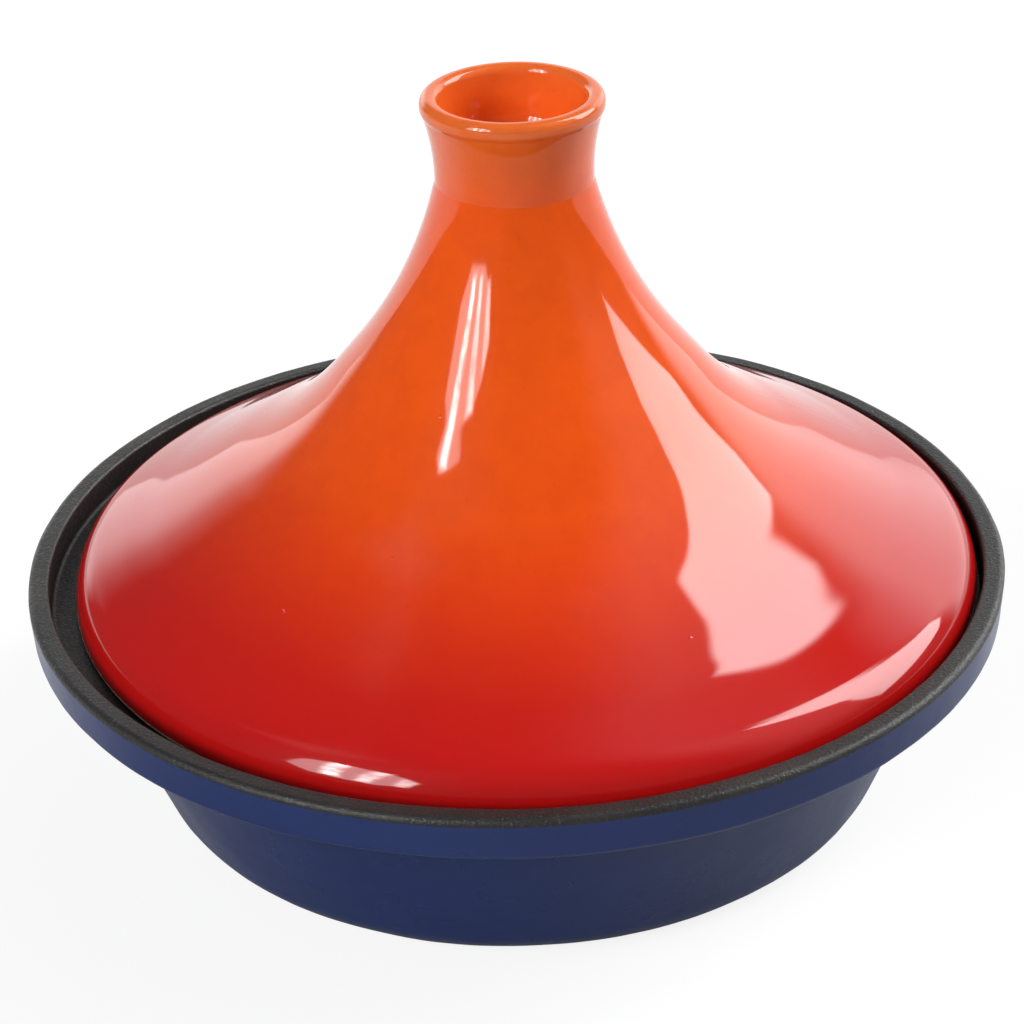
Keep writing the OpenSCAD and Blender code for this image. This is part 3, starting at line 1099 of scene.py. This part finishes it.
@dataclass(frozen=True)
class Studio:
    """Camera, pale floor, white backdrop and soft lamps.

    Attributes:
        aim: Point that the camera looks at, in metres.
        distance: How far it stands from there.
        elevation: How far it looks down, in degrees.
        roll: How far it leans, in degrees.
        lens: Focal length in millimetres, as the sensor's width is.
        paper: Shade of the floor in the lamps' light.
        shown: Shade and glow of the floor where it shows white.
        aside: How much a metre to the side counts as a metre back.
        backlit: Metres behind the middle from which the floor starts and ends turning white in
            gloss, as painted light.
        lamplit: Metres that say the same for the front.
        lamplit_white: How white the front gets in gloss, as painted light.
        dim: Light from all around.
        panels: Lamps and lit screens.
    """

    aim: Place = (-0.00069, 0.0, 0.08536)
    distance: float = 0.94399
    elevation: float = 28.86
    roll: float = -1.80
    lens: float = 107.91
    sensor: float = 36.0
    clip_end: float = 100.0
    floor_r: float = 14.0
    floor_sides: int = 96
    paper: float = 0.42
    shown: Pair = (0.19, 0.84)
    aside: float = 0.5
    backlit: Pair = (-0.07, 0.27)
    lamplit: Pair = (-0.32, -0.55)
    lamplit_white: float = 0.5
    dim: float = 0.17
    panels: tuple[Panel, ...] = (
        # The softbox on the right, and its lit side
        Panel(
            (
                (90.6, 11.9), (119.6, 15.1), (125.5, 20.7), (129.6, 31.0),
                (125.0, 41.0), (111.5, 59.0), (104.4, 64.5), (95.0, 38.4),
            ),
            8.0, 12.5,
        ),
        Panel(((90.6, 11.9), (95.0, 38.4), (90.7, 31.6), (89.0, 22.0)), 8.0, 10.0),
        # The umbrella on the left, and three bright streaks between its folds
        Panel(
            (
                (-56.0, 46.0), (-41.0, 45.0), (-33.0, 39.0), (-28.0, 31.0), (-29.5, 20.0),
                (-37.0, 14.0), (-53.0, 12.5), (-60.0, 19.0), (-61.0, 38.0),
            ),
            6.0, 6.0,
        ),
        Panel(((-56.5, 45.0), (-52.5, 45.0), (-45.5, 15.0), (-50.0, 15.0)), 36.0, 36.0, 1.2, 0.75),
        Panel(((-44.5, 45.0), (-39.0, 45.0), (-38.5, 16.0), (-42.0, 16.0)), 20.0, 20.0, 0.9, 0.6),
        Panel(((-33.5, 37.5), (-29.0, 32.0), (-29.5, 17.0), (-33.0, 18.0)), 13.0, 13.0, 0.8, 0.5),
        # The backdrop and its left part, a faint haze high on the left, and its right part
        Panel(
            ((-140.0, -40.0), (-140.0, 22.0), (180.0, 34.0), (130.0, 42.0), (124.0, -40.0)),
            1.2, 1.2, 5.0,
        ),
        Panel(((-168.0, -30.0), (-168.0, 20.0), (-141.0, 18.0), (-138.0, -30.0)), 1.2, 1.2, 6.0),
        Panel(((-96.0, 52.0), (-96.0, 67.0), (-70.0, 68.0), (-74.0, 53.0)), 0.5, 0.5, 6.0),
        Panel(
            ((158.0, -40.0), (158.0, 26.0), (130.0, 42.0), (124.0, 12.0), (124.0, -40.0)),
            1.0, 1.6, 5.0,
        ),
        # The glow around the softbox and around the umbrella
        Panel(((60.0, 15.0), (60.0, 60.0), (112.0, 80.0), (112.0, 10.0)), 0.4, 0.9, 12.0),
        Panel(((-70.0, 5.0), (-74.0, 58.0), (-30.0, 62.0), (-20.0, 10.0)), 0.1, 0.25, 10.0),
    )

    def set_camera(self) -> None:
        """Create the camera and make it the scene's own."""
        rise, roll = math.radians(self.elevation), math.radians(self.roll)
        ahead = Vector((0, math.cos(rise), -math.sin(rise)))
        right = Vector((1, 0, 0))
        up = right.cross(ahead)
        x_axis = math.cos(roll) * right + math.sin(roll) * up
        y_axis = math.cos(roll) * up - math.sin(roll) * right
        camera = bpy.data.cameras.new("camera")
        camera.lens = self.lens
        camera.sensor_width = self.sensor
        camera.clip_end = self.clip_end
        holder = bpy.data.objects.new("camera", camera)
        turned = Matrix((x_axis, y_axis, -ahead)).transposed().to_4x4()
        holder.matrix_world = Matrix.Translation(Vector(self.aim) - ahead * self.distance) @ turned
        bpy.context.scene.collection.objects.link(holder)
        bpy.context.scene.camera = holder

    def lay_floor(self) -> None:
        """Lay a wide round floor that shows white and keeps the object's shadow."""
        angles = np.linspace(0, 2 * math.pi, self.floor_sides, endpoint=False)
        rim = [(self.floor_r * math.cos(a), self.floor_r * math.sin(a), 0.0) for a in angles]
        mesh = bpy.data.meshes.new("floor")
        mesh.from_pydata(rim, [], [tuple(range(len(rim)))])
        floor = bpy.data.objects.new("floor", mesh)
        bpy.context.scene.collection.objects.link(floor)
        g = Graph(bpy.data.materials.new("floor"))
        shade, glow = self.shown
        both = g.node("ShaderNodeAddShader")
        g.feed(both.inputs[0], self._paper(g, shade))
        light = g.node("ShaderNodeEmission")
        light.inputs["Strength"].default_value = glow
        g.feed(both.inputs[1], light.outputs[0])
        choice = g.node("ShaderNodeMixShader")
        for i, source in enumerate((self._white(g), self._paper(g, self.paper), both.outputs[0])):
            g.feed(choice.inputs[i], source)
        g.feed(g.node("ShaderNodeOutputMaterial").inputs["Surface"], choice.outputs[0])
        dress(floor, g.owner)

    @staticmethod
    def _paper(g: Graph, shade: float) -> Socket:
        """Add matt grey paper."""
        paper = g.node("ShaderNodeBsdfDiffuse")
        g.feed(paper.inputs["Color"], (shade, shade, shade))
        return paper.outputs[0]

    def _white(self, g: Graph) -> Socket:
        """Tell where the floor shows white: to the camera, and in gloss where light falls on it.

        Args:
            g: The floor's graph.

        Returns:
            1 where it shows white, in gloss as painted light, and 0 where it is plain paper in the
            lamps' light.
        """
        path = g.node("ShaderNodeLightPath").outputs
        mirrored = g.math("MAXIMUM", path["Is Glossy Ray"], path["Is Transmission Ray"])
        # Painted light: in gloss the floor glows white behind the middle and far in front, as if
        # lit there
        x, y, _ = g.axes()
        aside = g.math("MULTIPLY", g.math("ABSOLUTE", x), self.aside)
        backlit = g.spread(g.math("ADD", y, aside), *self.backlit)
        lamplit = g.spread(y, *self.lamplit, 0.0, self.lamplit_white)
        bright = g.math("MAXIMUM", backlit, lamplit)
        return g.math("MAXIMUM", path["Is Camera Ray"], g.math("MULTIPLY", mirrored, bright))

    def light_world(self) -> None:
        """Surround the scene with the lamps and the backdrop, all of it white to the camera."""
        world = bpy.data.worlds.new("studio")
        bpy.context.scene.world = world
        g = Graph(world)
        light = g.sum(self.dim, *(panel.shine(g) for panel in self.panels))
        seen = g.node("ShaderNodeLightPath").outputs["Is Camera Ray"]
        strength = g.node("ShaderNodeMix")
        g.feed(strength.inputs["Factor"], seen)
        g.feed(strength.inputs[2], light)
        g.feed(strength.inputs[3], WHITE)
        glow = g.node("ShaderNodeBackground")
        g.feed(glow.inputs["Strength"], strength.outputs[0])
        g.feed(g.node("ShaderNodeOutputWorld").inputs["Surface"], glow.outputs[0])

    def build(self) -> None:
        """Set up the whole studio."""
        self.set_camera()
        self.lay_floor()
        self.light_world()
        bpy.context.scene.view_settings.view_transform = "Standard"


# ---- Putting it together ------------------------------------------------------------------------


def place(piece: Piece, body: str, material: bpy.types.Material) -> None:
    """Dress a piece and set it on its body in place of its CAD nodes.

    Args:
        piece: What was built.
        body: CAD body that it moves with.
        material: Its finish.
    """
    dress(piece.thing, material)
    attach(piece.thing, body)
    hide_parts(*piece.stands_for)
    LOG.info("%s: %d faces on %s", piece.thing.name, len(piece.thing.data.polygons), body)


def corners(bounds: object) -> list[list[float]]:
    """Turn a box into plain lists of numbers."""
    return [[float(x) for x in corner] for corner in bounds]


def main() -> None:
    """Build, dress and place every piece, then set up the studio."""
    logging.basicConfig(level=logging.INFO, format="%(name)s: %(message)s")
    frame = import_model()
    Studio().build()
    sprayed = [SprayedGlaze(slot) for slot in (Slot.RED_GLAZE, Slot.ORANGE_GLAZE)]
    finishes = (*sprayed, CreamGlaze(), Stoneware(), BlackEnamel(), BlueEnamel(), BareIron())
    materials = {finish.slot: finish.make() for finish in finishes}
    for part in (Dish(), Lid()):
        for piece in part.build():
            place(piece, part.body, materials[piece.slot])
    bare = {"dish_casting": Slot.BARE_IRON, "lid_cone": Slot.STONEWARE, "steam_cup": Slot.STONEWARE}
    for node, slot in bare.items():
        dress(frame["nodes"][node], materials[slot])
        LOG.info("%s: the packed solid, finished as %s", node, slot.value)


if __name__ == "__main__":
    main()
